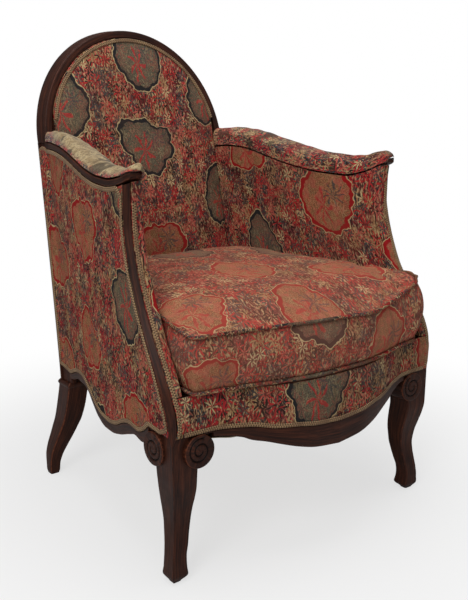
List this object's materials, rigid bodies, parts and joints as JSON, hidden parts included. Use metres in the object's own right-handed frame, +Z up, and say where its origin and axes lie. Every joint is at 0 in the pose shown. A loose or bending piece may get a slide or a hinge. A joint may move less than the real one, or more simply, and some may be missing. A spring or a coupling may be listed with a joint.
{
  "type": "upholstered armchair",
  "caption": "Small arched-back armchair with a dark show-wood frame, stuffed arms, gimp trim and a loose, slumped seat cushion.",
  "frame": {"origin": "floor level, under the middle of the chair's bounding box", "axes": "+X to the viewer's right as the chair faces the viewer, +Y to the back, +Z up"},
  "size_m": [0.6046, 0.6966, 0.88],
  "materials": {
    "show_wood": "dark stained and polished, worn at the edges",
    "inner_wood": "bare sawn beech",
    "printed_cover": "close woven cotton with an all-over leaf print, faded",
    "worn_arm_cover": "the same cloth rubbed pale and threadbare",
    "piping": "corded seam in the same cloth",
    "gimp": "looped gimp braid",
    "platform_cloth": "plain cotton",
    "hessian": "coarse open jute",
    "webbing": "jute webbing",
    "bottom_cloth": "thin plain dust cloth, slack",
    "spring_steel": "dull drawn wire"
  },
  "bodies": {
    "root": {"arm_pad_left": "worn_arm_cover", "arm_pad_right": "worn_arm_cover", "arm_rail_left": "show_wood", "arm_rail_right": "show_wood", "arm_tack_rail_left": "inner_wood", "arm_tack_rail_right": "inner_wood", "back_rail": "inner_wood", "back_stile_left": "show_wood", "back_stile_right": "show_wood", "back_tack_rail": "inner_wood", "bottom_cloth": "bottom_cloth", "coil_spring_1": "spring_steel", "coil_spring_2": "spring_steel", "coil_spring_3": "spring_steel", "coil_spring_4": "spring_steel", "coil_spring_5": "spring_steel", "coil_spring_6": "spring_steel", "coil_spring_7": "spring_steel", "coil_spring_8": "spring_steel", "coil_spring_9": "spring_steel", "corner_block_back_left": "inner_wood", "corner_block_back_right": "inner_wood", "corner_block_front_left": "inner_wood", "corner_block_front_right": "inner_wood", "crest_rail": "show_wood", "cushion_piping_low": "piping", "cushion_piping_top": "piping", "front_border": "printed_cover", "front_gimp": "gimp", "front_post_left": "show_wood", "front_post_right": "show_wood", "front_rail": "show_wood", "inside_arm_left": "printed_cover", "inside_arm_right": "printed_cover", "inside_back": "printed_cover", "inside_back_gimp": "gimp", "outside_arm_left": "printed_cover", "outside_arm_right": "printed_cover", "outside_back": "printed_cover", "outside_back_gimp": "gimp", "post_gimp_left": "gimp", "post_gimp_right": "gimp", "rear_leg_left": "show_wood", "rear_leg_right": "show_wood", "seat_cushion": "printed_cover", "seat_platform": "platform_cloth", "side_gimp_left": "gimp", "side_gimp_right": "gimp", "side_rail_left": "show_wood", "side_rail_right": "show_wood", "spring_hessian": "hessian", "web_cross_1": "webbing", "web_cross_2": "webbing", "web_cross_3": "webbing", "web_long_1": "webbing", "web_long_2": "webbing", "web_long_3": "webbing"}
  },
  "joints": []
}
